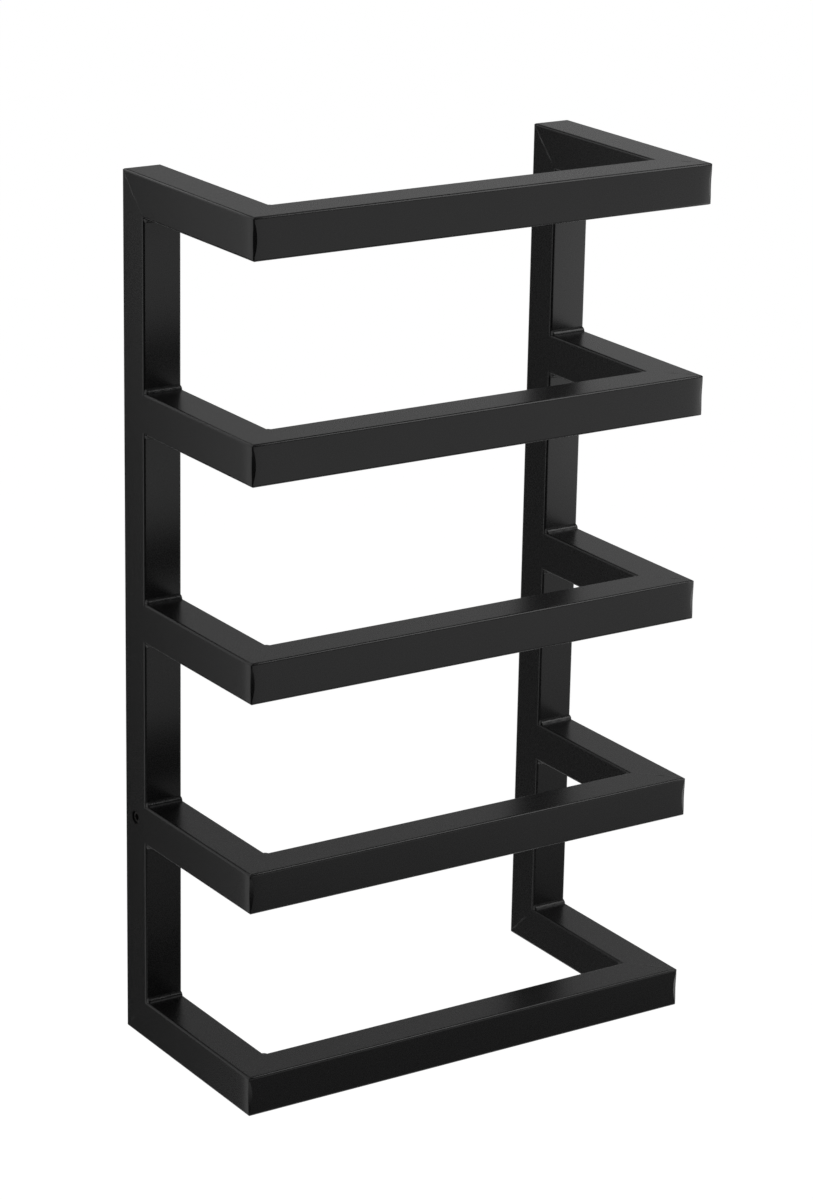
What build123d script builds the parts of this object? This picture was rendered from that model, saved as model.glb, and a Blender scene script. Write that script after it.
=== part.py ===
from build123d import *
import math
import os

# Wall rack: two uprights and five U-shaped rails of square steel tube, mitred
# and welded, hung on two hidden hooks and held by two hidden posts with grub
# screws.
# Millimetres. +X to the right, -Y to the front, +Z up. The wall is the plane
# y = 0, and the origin is the middle of the four wall fixings on the wall.

# Frame of the rack
rack_width = 312.0
rack_depth = 149.0
rail_count = 5
rail_pitch = 128.5

# Square tube
tube_size = 25.0
tube_wall = 1.5
tube_edge_radius = 1.5

# Welded mitre corners: the back ones are rounded, and the rails' front ones
# are rounded and then ground by a disc that leans toward the front face, which
# leaves a shallow lens at each end of the face, widest at its middle
back_edge_radius = 2.5
front_edge_radius = 0.8
ground_depth = 0.8
ground_lean = 20.0
grinding_disc_radius = 90.0

# Weld beads
weld_leg = 2.4
weld_bulge = 0.35
weld_end_margin = 0.5

# Places of the wall fixings
upper_fixing_drop = 56.5
lower_fixing_rise = 1.5
wall_screw_hole_radius = 2.5

# Wall hook, a joggled plate that the upright's back hangs on
hook_width = 14.0
hook_thickness = 3.0
hook_leg_height = 30.0
hook_tongue_height = 9.0
hook_corner_radius = 2.0

# Wall post, a turned stub with a groove for the grub screw
post_radius = 6.0
post_nose = 5.5
post_groove_depth = 1.5
post_head_radius = 4.2
post_head_depth = 3.5
post_chamfer = 0.6

# Grub screw
screw_radius = 3.95
screw_tip_radius = 0.75
screw_recess = 1.0
screw_chamfer = 0.4
socket_across_flats = 4.0
socket_depth = 2.2
collar_wall = 1.4
collar_length = 2.5

# Travel and clearances
lift_travel = 12.0
lift_margin = 0.5
side_clearance = 0.5
hang_clearance = 0.4
seat_clearance = 0.1
post_slack = 1.0
screw_radial_clearance = 0.05
screw_tip_clearance = 0.3

# Worked out from the sizes above
rack_height = tube_size + rail_pitch * (rail_count - 1)
lower_fixing_height = tube_size / 2 + rail_pitch + lower_fixing_rise
fixing_spacing = rack_height - upper_fixing_drop - lower_fixing_height
underside_z = -fixing_spacing / 2 - lower_fixing_height
top_z = underside_z + rack_height
upright_x = (rack_width - tube_size) / 2
upper_fixing_z = fixing_spacing / 2
lower_fixing_z = -fixing_spacing / 2
flat_width = tube_size - 2 * tube_edge_radius
hang_gap = tube_wall + hang_clearance
screw_axis_y = -tube_size / 2
side_hole_radius = screw_radius + screw_radial_clearance


def rail_middle_z(level):
    """Height of a rail's middle line. Level 1 is the top rail."""
    return underside_z + tube_size / 2 + rail_pitch * (rail_count - level)


def tube_section():
    """Cross-section of the square tube, rounded outside and square inside."""
    bore_size = tube_size - 2 * tube_wall
    outside = RectangleRounded(tube_size, tube_size, tube_edge_radius)
    return outside - Rectangle(bore_size, bore_size)


def tube_between(start, end):
    """Straight length of square tube along one of the three axes."""
    run = Vector(*end) - Vector(*start)
    across = (1, 0, 0) if abs(run.X) < abs(run.Y) + abs(run.Z) else (0, 1, 0)
    plane = Plane(origin=start, x_dir=across, z_dir=run.normalized())
    return extrude(plane * tube_section(), amount=run.length)


def front_mitre_plane(side):
    """Mitre of a rail's front corner; the front bar is on its normal's side."""
    corner = (side * rack_width / 2, -rack_depth, 0)
    return Plane(origin=corner, x_dir=(0, 0, 1), z_dir=(-side, -1, 0))


def back_mitre_plane(upward):
    """Mitre of an arm and an upright; the arm is on its normal's side."""
    corner_z = top_z if upward > 0 else underside_z
    return Plane(origin=(0, 0, corner_z), x_dir=(1, 0, 0), z_dir=(0, -1, upward))


def edge_spandrel(corner, first, second, radius, length):
    """Three-cornered bar between a sharp edge and its rounding. Its two legs
    run from the corner along the first and the second direction."""
    along = Vector(*first).cross(Vector(*second))
    block = Pos(radius / 2, radius / 2) * Rectangle(radius, radius)
    section = block - Pos(radius, radius) * Circle(radius)
    plane = Plane(corner, x_dir=first, z_dir=along)
    return extrude(plane * section, amount=length / 2, both=True)


def front_corner_waste(level, side):
    """Metal that rounding and grinding take off a rail's front corner. The
    disc sinks in by the ground depth at the edge's middle point."""
    middle = Vector(side * rack_width / 2, -rack_depth, rail_middle_z(level))
    rounding = edge_spandrel(middle, (-side, 0, 0), (0, 1, 0), front_edge_radius, 2 * tube_size)
    lean = math.radians(ground_lean)
    outward = Vector(side * math.sin(lean), -math.cos(lean), 0)
    disc_centre = middle + outward * (grinding_disc_radius - ground_depth)
    disc_plane = Plane(disc_centre, x_dir=(0, 0, 1), z_dir=outward.cross(Vector(0, 0, 1)))
    disc = extrude(disc_plane * Circle(grinding_disc_radius), amount=tube_size, both=True)
    return rounding + disc


def left_back_corner_waste(upward):
    """Metal that rounding takes off the mitre of the left upright and an end
    rail's arm."""
    corner_z = top_z if upward > 0 else underside_z
    corner = (-upright_x, 0, corner_z)
    return edge_spandrel(corner, (0, -1, 0), (0, 0, -upward), back_edge_radius, 2 * tube_size)


def make_front_bar(level):
    """Front bar of a rail, mitred at both ends."""
    middle_z = rail_middle_z(level)
    middle_y = -rack_depth + tube_size / 2
    half_width = rack_width / 2
    bar = tube_between((-half_width, middle_y, middle_z), (half_width, middle_y, middle_z))
    for side in (-1, 1):
        bar = split(bar, bisect_by=front_mitre_plane(side), keep=Keep.TOP)
        bar = bar - front_corner_waste(level, side)
    return bar


def make_left_arm(level):
    """Left arm of a rail, mitred to the front bar; the end rails' arms are
    mitred to the upright too, and the others butt on its front face."""
    middle_z = rail_middle_z(level)
    is_end_rail = level in (1, rail_count)
    back_y = 0 if is_end_rail else -tube_size
    arm = tube_between((-upright_x, -rack_depth, middle_z), (-upright_x, back_y, middle_z))
    arm = split(arm, bisect_by=front_mitre_plane(-1), keep=Keep.BOTTOM)
    arm = arm - front_corner_waste(level, -1)
    if is_end_rail:
        upward = 1 if level == 1 else -1
        arm = split(arm, bisect_by=back_mitre_plane(upward), keep=Keep.TOP)
        arm = arm - left_back_corner_waste(upward)
    return arm


def hook_opening():
    """Cut in the upright's back wall that drops over the hook."""
    width = hook_width + 2 * side_clearance
    seat_z = upper_fixing_z + hook_leg_height / 2
    top_edge_z = seat_z + seat_clearance
    bottom_edge_z = upper_fixing_z - hook_leg_height / 2 - lift_travel - lift_margin
    middle = (-upright_x, 0, (top_edge_z + bottom_edge_z) / 2)
    plane = Plane(middle, x_dir=(1, 0, 0), z_dir=(0, -1, 0))
    opening = Rectangle(width, top_edge_z - bottom_edge_z)
    return extrude(plane * opening, amount=tube_wall)


def post_opening():
    """Upright slot in the back wall that passes over the post."""
    width = 2 * (post_radius + side_clearance)
    top_centre_z = lower_fixing_z + post_slack
    bottom_centre_z = lower_fixing_z - lift_travel - post_slack
    middle = (-upright_x, 0, (top_centre_z + bottom_centre_z) / 2)
    plane = Plane(middle, x_dir=(0, 0, 1), z_dir=(0, -1, 0))
    slot = SlotCenterToCenter(top_centre_z - bottom_centre_z, width)
    return extrude(plane * slot, amount=tube_wall)


def screw_plane():
    """Plane on the upright's outer side with its normal pointing inwards."""
    return Plane((-rack_width / 2, screw_axis_y, lower_fixing_z), x_dir=(0, 1, 0), z_dir=(1, 0, 0))


def make_left_upright():
    """Left upright with its hook opening, post slot and tapped side hole."""
    start = (-upright_x, -tube_size / 2, underside_z)
    end = (-upright_x, -tube_size / 2, top_z)
    upright = tube_between(start, end)
    for upward in (-1, 1):
        upright = split(upright, bisect_by=back_mitre_plane(upward), keep=Keep.BOTTOM)
        upright = upright - left_back_corner_waste(upward)
    collar_disc = Circle(side_hole_radius + collar_wall)
    collar = extrude(screw_plane().offset(tube_wall) * collar_disc, amount=collar_length)
    hole = extrude(screw_plane() * Circle(side_hole_radius), amount=tube_wall + collar_length)
    return upright + collar - hole - hook_opening() - post_opening()


def weld_section():
    """Slightly bulging three-cornered section of a fillet weld bead."""
    middle = weld_leg / 2 + weld_bulge / math.sqrt(2)
    face_arc = ThreePointArc((weld_leg, 0), (middle, middle), (0, weld_leg))
    legs = Polyline((0, weld_leg), (0, 0), (weld_leg, 0))
    return make_face(face_arc + legs)


def weld_bead(plane, length):
    """Bead centred on the plane's origin, along its normal, with the legs
    along its x and y directions."""
    return extrude(plane * weld_section(), amount=length / 2, both=True)


def flush_filler(level, side):
    """Weld dressed flush where an arm's end meets the rounded edge of the
    upright, on the outer side or the inner side of the arm."""
    corner = (-upright_x + side * tube_size / 2, -tube_size, rail_middle_z(level))
    return edge_spandrel(corner, (-side, 0, 0), (0, 1, 0), tube_edge_radius, flat_width)


def make_left_arm_welds():
    """All weld beads between the left arms and the left upright."""
    length = flat_width - 2 * weld_end_margin
    beads = []
    for level in range(1, rail_count + 1):
        for upward in (-1, 1):
            faces_next_rail = (level > 1 or upward < 0) and (level < rail_count or upward > 0)
            if faces_next_rail:
                root = (-upright_x, -tube_size, rail_middle_z(level) + upward * tube_size / 2)
                plane = Plane(root, x_dir=(0, -1, 0), z_dir=(-upward, 0, 0))
                beads.append(weld_bead(plane, length))
        if 1 < level < rail_count:
            beads.append(flush_filler(level, -1))
            beads.append(flush_filler(level, 1))
    return Compound(children=beads)


def make_corner_welds():
    """Upright beads in the inner front corners of all rails."""
    beads = []
    for level in range(1, rail_count + 1):
        for side in (-1, 1):
            corner_x = side * (rack_width / 2 - tube_size)
            root = (corner_x, -rack_depth + tube_size, rail_middle_z(level))
            plane = Plane(root, x_dir=(-side, 0, 0), z_dir=(0, 0, -side))
            beads.append(weld_bead(plane, flat_width - 2 * weld_end_margin))
    return Compound(children=beads)


def make_left_wall_hook():
    """Joggled plate: a leg on the wall, a seat, and a tongue standing up
    behind the upright's back wall."""
    low_z = upper_fixing_z - hook_leg_height / 2
    seat_z = upper_fixing_z + hook_leg_height / 2
    tip_z = seat_z + hook_tongue_height
    tongue_front = hang_gap + hook_thickness
    joggle_z = seat_z - hook_thickness
    profile = make_face(
        Polyline(
            (0, low_z),
            (-hook_thickness, low_z),
            (-hook_thickness, joggle_z - hang_gap),
            (-tongue_front, joggle_z),
            (-tongue_front, tip_z),
            (-hang_gap, tip_z),
            (-hang_gap, seat_z),
            (0, seat_z),
            close=True,
        )
    )
    side_plane = Plane((-upright_x, 0, 0), x_dir=(0, 1, 0), z_dir=(1, 0, 0))
    hook = extrude(side_plane * profile, amount=hook_width / 2, both=True)
    end_edges = hook.edges().filter_by(Axis.Y).group_by(Axis.Z)
    hook = fillet(end_edges[0] + end_edges[-1], hook_corner_radius)
    hole_plane = Plane((-upright_x, 0, upper_fixing_z), x_dir=(1, 0, 0), z_dir=(0, -1, 0))
    return hook - extrude(hole_plane * Circle(wall_screw_hole_radius), amount=hook_thickness)


def make_left_wall_post():
    """Turned stub: a through hole, a seat for the wall screw's head and a
    groove that the grub screw's point stands in."""
    length = tube_size / 2 + post_nose
    groove_y = tube_size / 2
    head_seat = length - post_head_depth
    groove_radius = post_radius - post_groove_depth
    profile = make_face(
        Polyline(
            (wall_screw_hole_radius, 0),
            (post_radius, 0),
            (post_radius, groove_y - post_groove_depth),
            (groove_radius, groove_y),
            (post_radius, groove_y + post_groove_depth),
            (post_radius, length - post_chamfer),
            (post_radius - post_chamfer, length),
            (post_head_radius, length),
            (post_head_radius, head_seat),
            (wall_screw_hole_radius, head_seat),
            close=True,
        )
    )
    plane = Plane((-upright_x, 0, lower_fixing_z), x_dir=(1, 0, 0), z_dir=(0, 0, -1))
    axis = Axis((-upright_x, 0, lower_fixing_z), (0, 1, 0))
    return revolve(plane * profile, axis)


def make_left_grub_screw():
    """Cone-point grub screw with a hexagon socket, its axis along X."""
    groove_bottom = post_radius - post_groove_depth
    cone_apex = groove_bottom + screw_tip_clearance * math.sqrt(2)
    tip = cone_apex + screw_tip_radius
    shoulder = cone_apex + screw_radius
    head = tube_size / 2 - screw_recess
    profile = make_face(
        Polyline(
            (0, tip),
            (screw_tip_radius, tip),
            (screw_radius, shoulder),
            (screw_radius, head - screw_chamfer),
            (screw_radius - screw_chamfer, head),
            (0, head),
            close=True,
        )
    )
    plane = Plane((-upright_x, screw_axis_y, lower_fixing_z), x_dir=(0, 0, 1), z_dir=(0, 1, 0))
    if plane.y_dir.X > 0:
        plane = Plane(plane.origin, x_dir=(0, 0, 1), z_dir=(0, -1, 0))
    screw = revolve(plane * profile, Axis(plane.origin, (1, 0, 0)))
    head_plane = screw_plane().offset(screw_recess)
    socket = RegularPolygon(socket_across_flats / 2, 6, major_radius=False)
    return screw - extrude(head_plane * socket, amount=socket_depth)


def build_nodes():
    """Every node of the rack by name; right-hand pieces mirror the left."""
    nodes = {}
    left_pieces = {
        "upright": make_left_upright(),
        "arm_welds": make_left_arm_welds(),
        "wall_hook": make_left_wall_hook(),
        "wall_post": make_left_wall_post(),
        "grub_screw": make_left_grub_screw(),
    }
    for level in range(1, rail_count + 1):
        left_pieces[f"arm_{level}"] = make_left_arm(level)
        nodes[f"front_bar_{level}"] = make_front_bar(level)
    for name, piece in left_pieces.items():
        nodes[f"left_{name}"] = piece
        nodes[f"right_{name}"] = mirror(piece, about=Plane.YZ)
    nodes["corner_welds"] = make_corner_welds()
    return nodes


os.makedirs("parts", exist_ok=True)
for node_name, shape in build_nodes().items():
    export_step(shape, f"parts/{node_name}.step")
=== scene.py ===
import math

import bmesh
import bpy
from mathutils import Matrix, Vector


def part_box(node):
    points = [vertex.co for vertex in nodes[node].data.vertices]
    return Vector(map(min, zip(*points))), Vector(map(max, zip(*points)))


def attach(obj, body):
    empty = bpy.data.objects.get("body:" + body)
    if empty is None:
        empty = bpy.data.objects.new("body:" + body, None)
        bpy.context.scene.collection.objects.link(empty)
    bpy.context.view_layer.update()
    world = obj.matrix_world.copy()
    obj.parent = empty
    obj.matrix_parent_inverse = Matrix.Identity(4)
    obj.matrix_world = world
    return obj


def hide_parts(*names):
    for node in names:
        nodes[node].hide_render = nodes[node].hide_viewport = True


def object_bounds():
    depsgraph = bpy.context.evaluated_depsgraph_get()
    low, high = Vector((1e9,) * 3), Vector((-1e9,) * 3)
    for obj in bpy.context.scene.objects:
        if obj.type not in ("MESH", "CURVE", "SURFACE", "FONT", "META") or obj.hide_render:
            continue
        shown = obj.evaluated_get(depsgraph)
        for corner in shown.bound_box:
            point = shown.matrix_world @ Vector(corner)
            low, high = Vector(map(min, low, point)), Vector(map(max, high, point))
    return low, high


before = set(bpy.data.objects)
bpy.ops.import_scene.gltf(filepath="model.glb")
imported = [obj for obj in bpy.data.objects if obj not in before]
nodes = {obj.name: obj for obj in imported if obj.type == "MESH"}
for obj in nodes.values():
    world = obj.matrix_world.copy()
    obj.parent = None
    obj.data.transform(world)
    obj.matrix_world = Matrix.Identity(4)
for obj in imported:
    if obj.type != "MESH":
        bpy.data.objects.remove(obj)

cad_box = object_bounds()

# Metres, in the rack's own frame: +X right, -Y front, +Z up, the wall is y = 0.
mm = 0.001
right = Vector((1, 0, 0))
forward = Vector((0, -1, 0))
upward = Vector((0, 0, 1))
side_signs = {"left": -1, "right": 1}
sharp_angle = math.radians(38)

# Sizes read from the frame
rack_low, rack_high = cad_box
rack_middle = (rack_low + rack_high) / 2
half_width = rack_high.x
rack_depth = -rack_low.y
rail_count = sum(name.startswith("front_bar_") for name in nodes)
tube_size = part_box("front_bar_1")[1].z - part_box("front_bar_1")[0].z
upright_x = half_width - tube_size / 2

# Tube and its corners
tube_edge_radius = 1.5 * mm
filler_steps = 6
dressed_depth = 0.8 * mm
dressed_reach = 3.0 * mm

# Fillet weld beads
bead_leg = 2.8 * mm
bead_bulge = 0.65 * mm
bead_end_gap = 0.2 * mm
bead_end_length = 1.2 * mm
bead_least_swell = 0.06
bead_wander = 0.015
bead_ripple_height = 0.03 * mm
bead_ripple_pitch = 1.35 * mm
bead_ripple_lag = 0.8 * mm
bead_step = 0.28 * mm
bead_sides = 8

# Ground seams over the mitres
seam_half_width = 0.5 * mm
seam_height = 0.12 * mm
seam_sunk = 0.05 * mm
seam_end_gap = 2.0 * mm
seam_inner_share = 0.4
seam_wander = 0.15 * seam_half_width
seam_wander_rate = 5
seam_unevenness = 0.3
seam_uneven_rate = 17
seam_steps = 36
seam_sides = 8

# Grub screws
thread_pitch = 1.25 * mm
thread_depth = 0.55 * mm
screw_turns_per_step = 1 / 12
screw_tip_radius = 0.75 * mm
screw_chamfer = 0.4 * mm
screw_head_inset = 0.08 * mm
socket_across_flats = 4.0 * mm
socket_depth = 2.2 * mm
socket_drill_depth = 0.6 * mm
socket_drill_radius = 0.4 * mm
screw_sides = 48

# Satin black powder coat
coat_darkest = (0.0022, 0.0022, 0.0023)
coat_lightest = (0.004, 0.004, 0.0041)
coat_roughness = (0.22, 0.32)
coat_ior = 1.37
coat_cloud_size = 26 * mm
coat_peel_size = 1.6 * mm
coat_peel_height = 0.006 * mm
coat_grain_size = 0.4 * mm
coat_grain_height = 0.002 * mm

# Bright zinc plating
zinc_dullest = (0.33, 0.34, 0.37)
zinc_brightest = (0.52, 0.52, 0.50)
zinc_roughness = (0.2, 0.65)
zinc_cloud_size = 5 * mm
tool_mark_size = 0.5 * mm
tool_mark_height = 0.02 * mm
tool_mark_squeeze = 0.05

# Black oxide
oxide_darkest = (0.018, 0.018, 0.02)
oxide_lightest = (0.05, 0.048, 0.045)
oxide_metallic = 0.85
oxide_roughness = (0.28, 0.48)
oxide_spot_size = 1.2 * mm
oxide_grain_size = 0.3 * mm
oxide_grain_height = 0.003 * mm

# Camera at the photograph's viewing angle
camera_place = Vector((-1.1742, -1.8722, 0.6726))
camera_yaw = math.radians(33.066)
camera_pitch = math.radians(18.342)
camera_roll = math.radians(1.095)
camera_lens = 112.675
camera_sensor = 36.0

# Studio
white = (1, 1, 1, 1)
floor_drop = 0.95
floor_reach = 30.0
floor_grey = 0.8
floor_lift = 0.4
ambient_level = 0.75


def rail_z(level):
    """Height of a rail's middle line. Level 1 is the top rail."""
    low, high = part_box(f"front_bar_{level}")
    return (low.z + high.z) / 2


def add_node(tree, kind, **settings):
    """New shader node with some of its settings."""
    node = tree.nodes.new(kind)
    for key, value in settings.items():
        setattr(node, key, value)
    return node


def feed(tree, socket, value):
    """Links another socket to this one, or sets it to a plain value."""
    if isinstance(value, bpy.types.NodeSocket):
        tree.links.new(value, socket)
    else:
        socket.default_value = value


def calculate(tree, operation, first, second=0.0, clamp=False):
    """Math node of two sockets or numbers."""
    node = add_node(tree, "ShaderNodeMath", operation=operation, use_clamp=clamp)
    feed(tree, node.inputs[0], first)
    feed(tree, node.inputs[1], second)
    return node.outputs[0]


def between(tree, factor, low, high):
    """Plain number between two ends, by a factor from 0 to 1."""
    node = add_node(tree, "ShaderNodeMapRange")
    feed(tree, node.inputs["Value"], factor)
    node.inputs["To Min"].default_value = low
    node.inputs["To Max"].default_value = high
    return node.outputs[0]


def blend_colours(tree, factor, first, second):
    """Colour between two plain colours, by a factor from 0 to 1."""
    node = add_node(tree, "ShaderNodeMix", data_type="RGBA")
    feed(tree, node.inputs["Factor"], factor)
    node.inputs["A"].default_value = (*first, 1)
    node.inputs["B"].default_value = (*second, 1)
    return node.outputs["Result"]


def object_place(tree, stretch=(1, 1, 1)):
    """Place on the object, squeezed along its axes so that noise stretches."""
    place = add_node(tree, "ShaderNodeTexCoord").outputs["Object"]
    scaled = add_node(tree, "ShaderNodeVectorMath", operation="MULTIPLY")
    feed(tree, scaled.inputs[0], place)
    scaled.inputs[1].default_value = stretch
    return scaled.outputs[0]


def make_noise(tree, place, wavelength, detail):
    """Noise from 0 to 1 with a given wavelength."""
    noise = add_node(tree, "ShaderNodeTexNoise")
    feed(tree, noise.inputs["Vector"], place)
    noise.inputs["Scale"].default_value = 1 / wavelength
    noise.inputs["Detail"].default_value = detail
    return noise.outputs[0]


def raise_surface(tree, shader, height, distance=1.0):
    """Bump by a height in units of the distance."""
    bump = add_node(tree, "ShaderNodeBump")
    feed(tree, bump.inputs["Height"], height)
    bump.inputs["Distance"].default_value = distance
    feed(tree, shader.inputs["Normal"], bump.outputs[0])


def new_material(name):
    """Material with its node tree and its one shader."""
    material = bpy.data.materials.new(name)
    material.use_nodes = True
    tree = material.node_tree
    return material, tree, tree.nodes["Principled BSDF"]


def corner_dressing(tree, place):
    """Height in metres of faces that were dressed down toward the rails'
    upright front corners."""
    parts = add_node(tree, "ShaderNodeSeparateXYZ")
    feed(tree, parts.inputs[0], place)
    from_side = calculate(tree, "SUBTRACT", half_width, calculate(tree, "ABSOLUTE", parts.outputs["X"]))
    from_front = calculate(tree, "ADD", parts.outputs["Y"], rack_depth)
    side_square = calculate(tree, "MULTIPLY", from_side, from_side)
    front_square = calculate(tree, "MULTIPLY", from_front, from_front)
    distance = calculate(tree, "SQRT", calculate(tree, "ADD", side_square, front_square))
    fall = calculate(tree, "MULTIPLY", distance, -1 / dressed_reach)
    return calculate(tree, "MULTIPLY", calculate(tree, "EXPONENT", fall), -dressed_depth)


def powder_coat():
    """Satin black powder coat: faint clouds, orange peel and fine grain."""
    material, tree, shader = new_material("satin_black_powder_coat")
    place = object_place(tree)
    clouds = make_noise(tree, place, coat_cloud_size, detail=3)
    peel = make_noise(tree, place, coat_peel_size, detail=1)
    grain = make_noise(tree, place, coat_grain_size, detail=1)
    colour = blend_colours(tree, clouds, coat_darkest, coat_lightest)
    feed(tree, shader.inputs["Base Color"], colour)
    feed(tree, shader.inputs["Roughness"], between(tree, grain, *coat_roughness))
    shader.inputs["IOR"].default_value = coat_ior
    peel_height = calculate(tree, "MULTIPLY", peel, coat_peel_height)
    grain_height = calculate(tree, "MULTIPLY", grain, coat_grain_height)
    relief = calculate(tree, "ADD", peel_height, grain_height)
    raise_surface(tree, shader, calculate(tree, "ADD", relief, corner_dressing(tree, place)))
    return material


def zinc_plate(name, stretch):
    """Bright zinc plating over fine tool marks. They run along each axis
    that the stretch squeezes."""
    material, tree, shader = new_material(name)
    marks = make_noise(tree, object_place(tree, stretch), tool_mark_size, detail=2)
    clouds = make_noise(tree, object_place(tree), zinc_cloud_size, detail=3)
    colour = blend_colours(tree, clouds, zinc_dullest, zinc_brightest)
    feed(tree, shader.inputs["Base Color"], colour)
    shader.inputs["Metallic"].default_value = 1.0
    wear = calculate(tree, "MULTIPLY", marks, clouds)
    feed(tree, shader.inputs["Roughness"], between(tree, wear, *zinc_roughness))
    raise_surface(tree, shader, marks, tool_mark_height)
    return material


def black_oxide():
    """Blackened steel with a trace of oil."""
    material, tree, shader = new_material("black_oxide_steel")
    place = object_place(tree)
    spots = make_noise(tree, place, oxide_spot_size, detail=3)
    grain = make_noise(tree, place, oxide_grain_size, detail=2)
    colour = blend_colours(tree, spots, oxide_darkest, oxide_lightest)
    feed(tree, shader.inputs["Base Color"], colour)
    shader.inputs["Metallic"].default_value = oxide_metallic
    feed(tree, shader.inputs["Roughness"], between(tree, spots, *oxide_roughness))
    raise_surface(tree, shader, grain, oxide_grain_height)
    return material


def lofted(rings):
    """Points and faces of a closed skin through rings of points."""
    count = len(rings[0])
    points = [point for ring in rings for point in ring]
    last = len(points) - count
    faces = [tuple(range(count)), tuple(range(last, last + count))]
    for start in range(0, last, count):
        for here in range(count):
            after = (here + 1) % count
            faces.append((start + here, start + after, start + count + after, start + count + here))
    return points, faces


def make_piece(name, skins, material, slot, body, *replaced):
    """One mesh object of closed skins, smooth but for its sharp edges."""
    points = []
    faces = []
    for skin_points, skin_faces in skins:
        shift = len(points)
        points += skin_points
        faces += [tuple(shift + index for index in face) for face in skin_faces]
    mesh = bpy.data.meshes.new(name)
    mesh.from_pydata(points, [], faces)
    shape = bmesh.new()
    shape.from_mesh(mesh)
    bmesh.ops.recalc_face_normals(shape, faces=shape.faces)
    shape.to_mesh(mesh)
    shape.free()
    mesh.shade_smooth()
    mesh.set_sharp_from_angle(angle=sharp_angle)
    mesh.materials.append(material)
    piece = bpy.data.objects.new(name, mesh)
    bpy.context.scene.collection.objects.link(piece)
    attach(piece, body)
    if replaced:
        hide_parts(*replaced)


def fillet_bead(root, first, second, length, shift):
    """Fillet weld bead: its legs lie on two faces, its face bulges and is
    rippled, and its ends are round. The shift sets its ripples apart."""
    along = first.cross(second)
    steps = round(length / bead_step)
    rings = []
    for step in range(steps + 1):
        run = length * (step / steps - 0.5)
        from_end = min(1, (length / 2 - abs(run)) / bead_end_length)
        swell = max(bead_least_swell, math.sqrt(from_end * (2 - from_end)))
        leg = bead_leg * swell * (1 + bead_wander * math.sin(run / bead_end_length + shift))
        ring = [root + along * run]
        for side in range(bead_sides + 1):
            share = side / bead_sides
            arch = math.sin(math.pi * share)
            phase = (run + bead_ripple_lag * arch) / bead_ripple_pitch + shift
            ripple = bead_ripple_height * abs(math.sin(math.pi * phase))
            out = (bead_bulge + ripple) * arch * swell / math.sqrt(2)
            place = root + along * run
            ring.append(place + first * (leg * (1 - share) + out) + second * (leg * share + out))
        rings.append(ring)
    return lofted(rings)


def edge_filler(corner, first, second, length):
    """Weld dressed flush between a sharp corner and the tube's round edge."""
    along = first.cross(second)
    section = [Vector((0, 0))]
    for step in range(filler_steps + 1):
        angle = math.pi / 2 * step / filler_steps
        section.append(tube_edge_radius * Vector((1 - math.sin(angle), 1 - math.cos(angle))))
    rings = []
    for end in (-0.5, 0.5):
        rings.append([corner + along * length * end + first * at.x + second * at.y for at in section])
    return lofted(rings)


def arm_weld_skins(side):
    """Beads over and under each arm, and flush fillers beside the middle ones."""
    length = tube_size - 2 * bead_end_gap
    skins = []
    for level in range(1, rail_count + 1):
        for up in (-1, 1):
            is_outside = (level == 1 and up > 0) or (level == rail_count and up < 0)
            if not is_outside:
                root = Vector((side * upright_x, -tube_size, rail_z(level) + up * tube_size / 2))
                shift = level + 0.37 * up + 0.21 * side
                skins.append(fillet_bead(root, forward, upward * up, length, shift))
        if 1 < level < rail_count:
            for edge in (-1, 1):
                corner = Vector((side * upright_x + edge * tube_size / 2, -tube_size, rail_z(level)))
                skins.append(edge_filler(corner, right * -edge, -forward, tube_size - 2 * tube_edge_radius))
    return skins


def corner_weld_skins():
    """Upright beads in the inner front corners of all rails."""
    length = tube_size - 2 * bead_end_gap
    skins = []
    for level in range(1, rail_count + 1):
        for side in side_signs.values():
            root = Vector((side * (half_width - tube_size), -rack_depth + tube_size, rail_z(level)))
            skins.append(fillet_bead(root, right * -side, -forward, length, level + 0.43 * side))
    return skins


def ground_seam(inner, outer, normal, shift):
    """Low crown of a weld ground nearly flush along a mitre."""
    along = (outer - inner).normalized()
    start = inner + along * seam_end_gap
    length = (outer - inner).length - 2 * seam_end_gap
    across = normal.cross(along)
    rings = []
    for step in range(seam_steps + 1):
        share = step / seam_steps
        fade = math.sqrt(math.sin(math.pi * share)) * (seam_inner_share + (1 - seam_inner_share) * share)
        wander = seam_wander * math.sin(seam_wander_rate * share + shift)
        uneven = 1 + seam_unevenness * math.sin(seam_uneven_rate * share + 2 * shift)
        height = seam_height * fade * uneven
        middle = start + along * length * share + across * wander
        ring = []
        for side in range(seam_sides + 1):
            offset = 2 * side / seam_sides - 1
            crown = (1 - offset * offset) ** 2
            ring.append(middle + across * offset * seam_half_width + normal * height * crown)
        ring.append(middle + across * seam_half_width - normal * seam_sunk)
        ring.append(middle - across * seam_half_width - normal * seam_sunk)
        rings.append(ring)
    return lofted(rings)


def mitre_seam_skins():
    """Seams over the rails' front mitres, and over the back mitres' sides."""
    skins = []
    for side in side_signs.values():
        for level in range(1, rail_count + 1):
            for up in (-1, 1):
                z = rail_z(level) + up * tube_size / 2
                inner = Vector((side * (half_width - tube_size), -rack_depth + tube_size, z))
                outer = Vector((side * half_width, -rack_depth, z))
                skins.append(ground_seam(inner, outer, upward * up, level + side + 0.3 * up))
        for up in (-1, 1):
            corner_z = rack_high.z if up > 0 else rack_low.z
            for outward in (-1, 1):
                x = side * upright_x + outward * tube_size / 2
                inner = Vector((x, -tube_size, corner_z - up * tube_size))
                outer = Vector((x, 0, corner_z))
                skins.append(ground_seam(inner, outer, right * outward, side + 0.7 * up))
    return skins


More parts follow.
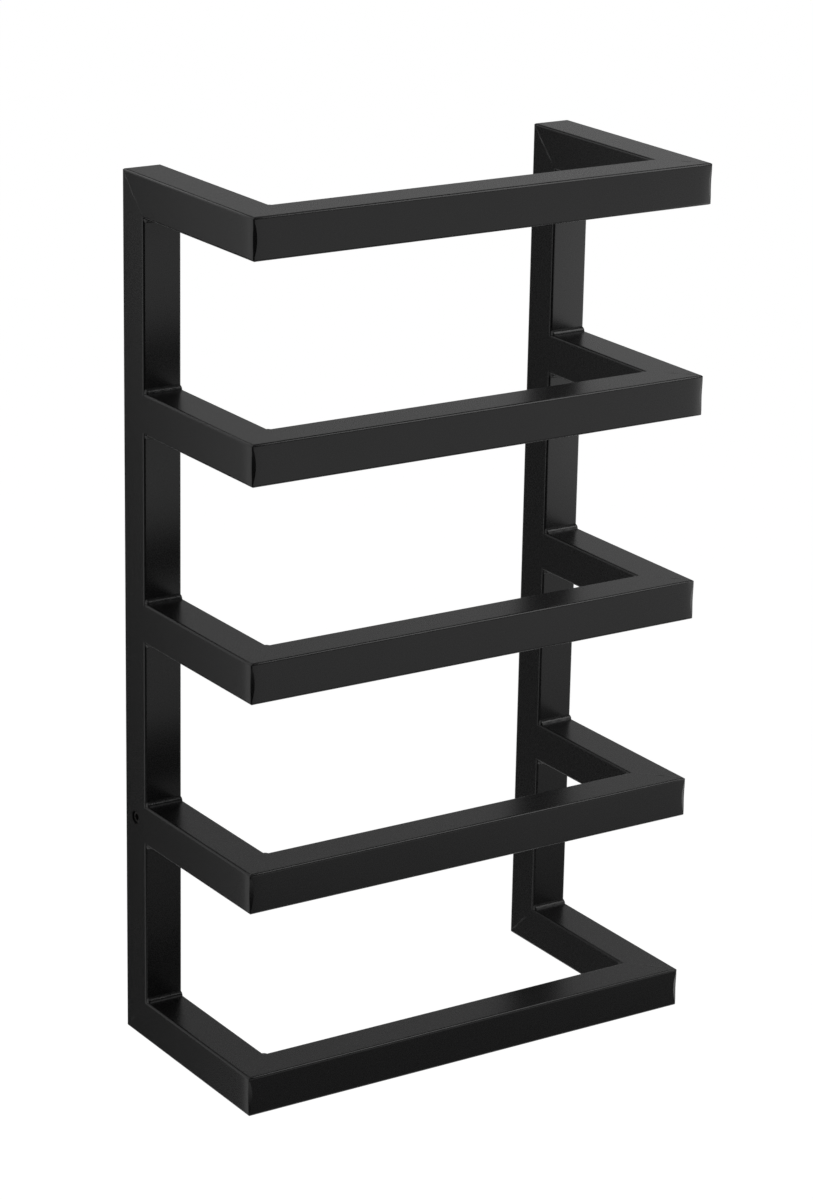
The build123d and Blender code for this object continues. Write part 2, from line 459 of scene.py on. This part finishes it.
def hexagon_radius(angle):
    """Distance from a hexagon socket's axis to its wall."""
    sixth = math.pi / 3
    return socket_across_flats / 2 / math.cos(angle % sixth - sixth / 2)


def screw_skin(name, outward):
    """Threaded grub screw with a cone point and a hexagon socket."""
    low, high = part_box(name)
    axis = (low + high) / 2
    screw_radius = (high.z - low.z) / 2
    head_x = high.x if outward > 0 else low.x
    tip_x = low.x if outward > 0 else high.x
    length = abs(head_x - tip_x)
    shoulder = screw_radius - screw_tip_radius

    def ring(depth, radius_at):
        points = []
        for index in range(screw_sides):
            angle = 2 * math.pi * index / screw_sides
            radius = radius_at(angle)
            points.append(Vector((
                head_x - outward * depth,
                axis.y + radius * math.cos(angle),
                axis.z + radius * math.sin(angle),
            )))
        return points

    def thread_radius(depth):
        def radius_at(angle):
            turn = (depth / thread_pitch + angle / (2 * math.pi)) % 1
            return screw_radius - thread_depth * (1 - abs(2 * turn - 1))
        return radius_at

    rings = [
        ring(socket_depth + socket_drill_depth, lambda angle: socket_drill_radius),
        ring(socket_depth, hexagon_radius),
        ring(0, hexagon_radius),
        ring(0, lambda angle: screw_radius - thread_depth - screw_head_inset),
    ]
    thread_end = length - shoulder
    steps = round((thread_end - screw_chamfer) / (thread_pitch * screw_turns_per_step))
    for step in range(steps + 1):
        depth = screw_chamfer + (thread_end - screw_chamfer) * step / steps
        rings.append(ring(depth, thread_radius(depth)))
    rings.append(ring(length, lambda angle: screw_tip_radius))
    return lofted(rings)


def make_camera():
    """Camera turned by a yaw about Z, then pitched down, then rolled."""
    ahead = Vector((
        math.sin(camera_yaw) * math.cos(camera_pitch),
        math.cos(camera_yaw) * math.cos(camera_pitch),
        -math.sin(camera_pitch),
    ))
    level_right = Vector((math.cos(camera_yaw), -math.sin(camera_yaw), 0))
    level_up = level_right.cross(ahead)
    frame_right = math.cos(camera_roll) * level_right + math.sin(camera_roll) * level_up
    frame_up = math.cos(camera_roll) * level_up - math.sin(camera_roll) * level_right
    data = bpy.data.cameras.new("camera")
    data.lens = camera_lens
    data.sensor_width = camera_sensor
    camera = bpy.data.objects.new("camera", data)
    turn = Matrix((frame_right, frame_up, -ahead)).transposed()
    camera.matrix_world = Matrix.Translation(camera_place) @ turn.to_4x4()
    bpy.context.scene.collection.objects.link(camera)
    bpy.context.scene.camera = camera


def background_share(tree):
    """1 for the rays that show the white background, and 0 for the others."""
    path = add_node(tree, "ShaderNodeLightPath")
    seen = calculate(tree, "ADD", path.outputs["Is Camera Ray"], path.outputs["Is Glossy Ray"], clamp=True)
    return calculate(tree, "ADD", seen, path.outputs["Is Transmission Ray"], clamp=True)


def make_world():
    """White all round, at the plain level on the object."""
    world = bpy.data.worlds.new("white_studio")
    world.use_nodes = True
    tree = world.node_tree
    tree.nodes.clear()
    light = add_node(tree, "ShaderNodeBackground")
    light.inputs["Strength"].default_value = ambient_level
    seen = add_node(tree, "ShaderNodeBackground")
    for shader in (light, seen):
        shader.inputs["Color"].default_value = white
    mix = add_node(tree, "ShaderNodeMixShader")
    output = add_node(tree, "ShaderNodeOutputWorld")
    feed(tree, mix.inputs[0], background_share(tree))
    feed(tree, mix.inputs[1], light.outputs[0])
    feed(tree, mix.inputs[2], seen.outputs[0])
    feed(tree, output.inputs["Surface"], mix.outputs[0])
    bpy.context.scene.world = world


def matt_material(name, grey):
    """Matt paint of the stage."""
    material, tree, shader = new_material(name)
    shader.inputs["Base Color"].default_value = (grey, grey, grey, 1)
    shader.inputs["Roughness"].default_value = 1.0
    shader.inputs["Specular IOR Level"].default_value = 0.0
    return material


def make_plate(name, width, height, material):
    """Flat rectangle of the stage about its own origin, facing its own Z."""
    x = width / 2
    y = height / 2
    mesh = bpy.data.meshes.new(name)
    mesh.from_pydata([(-x, -y, 0), (x, -y, 0), (x, y, 0), (-x, y, 0)], [], [(0, 1, 2, 3)])
    mesh.materials.append(material)
    plate = bpy.data.objects.new(name, mesh)
    bpy.context.scene.collection.objects.link(plate)
    return plate


def toward(azimuth, elevation):
    """Direction from the rack; azimuth 0 is its front, 90 its right side."""
    a = math.radians(azimuth)
    e = math.radians(elevation)
    return Vector((math.sin(a) * math.cos(e), -math.cos(a) * math.cos(e), math.sin(e)))


def glow_material(name, left_level, right_level, width):
    """Even glow of a card, or one that changes evenly across its width."""
    material = bpy.data.materials.new(name)
    material.use_nodes = True
    tree = material.node_tree
    tree.nodes.clear()
    glow = add_node(tree, "ShaderNodeEmission")
    output = add_node(tree, "ShaderNodeOutputMaterial")
    feed(tree, output.inputs["Surface"], glow.outputs[0])
    if left_level == right_level:
        glow.inputs["Strength"].default_value = left_level
        return material
    parts = add_node(tree, "ShaderNodeSeparateXYZ")
    feed(tree, parts.inputs[0], add_node(tree, "ShaderNodeTexCoord").outputs["Object"])
    share = calculate(tree, "ADD", calculate(tree, "DIVIDE", parts.outputs["X"], width), 0.5)
    feed(tree, glow.inputs["Strength"], between(tree, share, left_level, right_level))
    return material


def make_card(name, azimuth, elevation, distance, width, height, levels, roll=0.0):
    """Card that faces the rack and that only its reflections show. Its levels
    are those of its left and right edges, as the rack sees it."""
    direction = toward(azimuth, elevation)
    card = make_plate(name, width, height, glow_material(name, *levels, width))
    turn = (-direction).to_track_quat("Z", "Y").to_matrix() @ Matrix.Rotation(math.radians(roll), 3, "Z")
    card.matrix_world = Matrix.Translation(rack_middle + direction * distance) @ turn.to_4x4()
    card.visible_camera = False
    card.visible_diffuse = False
    card.visible_transmission = False
    card.visible_shadow = False


def make_cards():
    """Dark and grey cards that shape what the satin faces reflect."""
    make_card(
        "flag_camera_side", azimuth=-46, elevation=0,
        distance=2.0, width=3.9, height=3.4, levels=(0.01, 0.01),
    )
    make_card(
        "flag_low_front", azimuth=35, elevation=-45,
        distance=1.6, width=2.2, height=1.1, levels=(0.12, 0.12),
    )
    make_card(
        "flag_left_back", azimuth=-153.7, elevation=-13.6,
        distance=1.28, width=0.54, height=1.5, levels=(0.01, 0.01), roll=-8,
    )
    make_card(
        "flag_front_ceiling", azimuth=45, elevation=42,
        distance=2.6, width=4.4, height=2.9, levels=(0.02, 0.02),
    )
    make_card(
        "flag_back_ceiling", azimuth=150, elevation=55,
        distance=2.6, width=2.4, height=1.6, levels=(0.15, 0.15),
    )
    make_card(
        "flag_behind", azimuth=-176, elevation=33,
        distance=2.3, width=1.4, height=1.0, levels=(0.1, 0.1),
    )
    make_card(
        "back_paper", azimuth=149, elevation=15,
        distance=2.3, width=2.4, height=1.2, levels=(0.12, 0.55),
    )
    make_card(
        "card_low_right", azimuth=62, elevation=4.8,
        distance=0.5, width=0.2, height=0.3, levels=(2.2, 2.2),
    )


def make_floor():
    """Pale floor far below, white to the camera where no shadow falls."""
    material = matt_material("pale_floor", floor_grey)
    tree = material.node_tree
    shader = tree.nodes["Principled BSDF"]
    shader.inputs["Emission Color"].default_value = white
    lift = calculate(tree, "MULTIPLY", background_share(tree), floor_lift)
    feed(tree, shader.inputs["Emission Strength"], lift)
    floor = make_plate("floor", floor_reach, floor_reach, material)
    floor.location = (0, 0, rack_low.z - floor_drop)


def make_softbox(name, azimuth, elevation, distance, size, power):
    """Square soft lamp that points at the rack's middle."""
    data = bpy.data.lights.new(name, "AREA")
    data.shape = "SQUARE"
    data.size = size
    data.energy = power
    lamp = bpy.data.objects.new(name, data)
    direction = toward(azimuth, elevation)
    lamp.location = rack_middle + direction * distance
    lamp.rotation_euler = direction.to_track_quat("Z", "Y").to_euler()
    lamp.visible_camera = False
    bpy.context.scene.collection.objects.link(lamp)


def dress_nodes(finishes):
    """Gives each node of the frame the finish of its material slot."""
    for name, node in nodes.items():
        slot = node.data.materials[0].name
        node.data.materials.clear()
        node.data.materials.append(finishes[slot])


# Finishes and pieces. The wall posts are turned, the wall hooks are rolled sheet.
coat = powder_coat()
oxide = black_oxide()
turned_zinc = zinc_plate("turned_zinc_plate", (tool_mark_squeeze, 1, tool_mark_squeeze))
dress_nodes({"black_powder_coat": coat, "zinc_plate": turned_zinc, "black_oxide": oxide})
rolled_zinc = zinc_plate("rolled_zinc_plate", (1, 1, tool_mark_squeeze))
for side_name, side_sign in side_signs.items():
    nodes[f"{side_name}_wall_hook"].data.materials[0] = rolled_zinc
    bead_skins = arm_weld_skins(side_sign)
    weld_node = f"{side_name}_arm_welds"
    make_piece(f"{side_name}_arm_beads", bead_skins, coat, "black_powder_coat", "rack", weld_node)
    screw_node = f"{side_name}_grub_screw"
    screw_skins = [screw_skin(screw_node, side_sign)]
    screw_body = f"{side_name}_screw"
    make_piece(f"{side_name}_threaded_screw", screw_skins, oxide, "black_oxide", screw_body, screw_node)
make_piece("corner_beads", corner_weld_skins(), coat, "black_powder_coat", "rack", "corner_welds")
make_piece("mitre_seams", mitre_seam_skins(), coat, "black_powder_coat", "rack")

# Camera, studio and lamps
bpy.context.scene.view_settings.view_transform = "Standard"
make_camera()
make_world()
make_cards()
make_floor()
make_softbox("front_softbox", azimuth=50, elevation=46, distance=1.2, size=0.65, power=5)
make_softbox("back_softbox", azimuth=-146, elevation=46, distance=0.63, size=0.14, power=0.1)
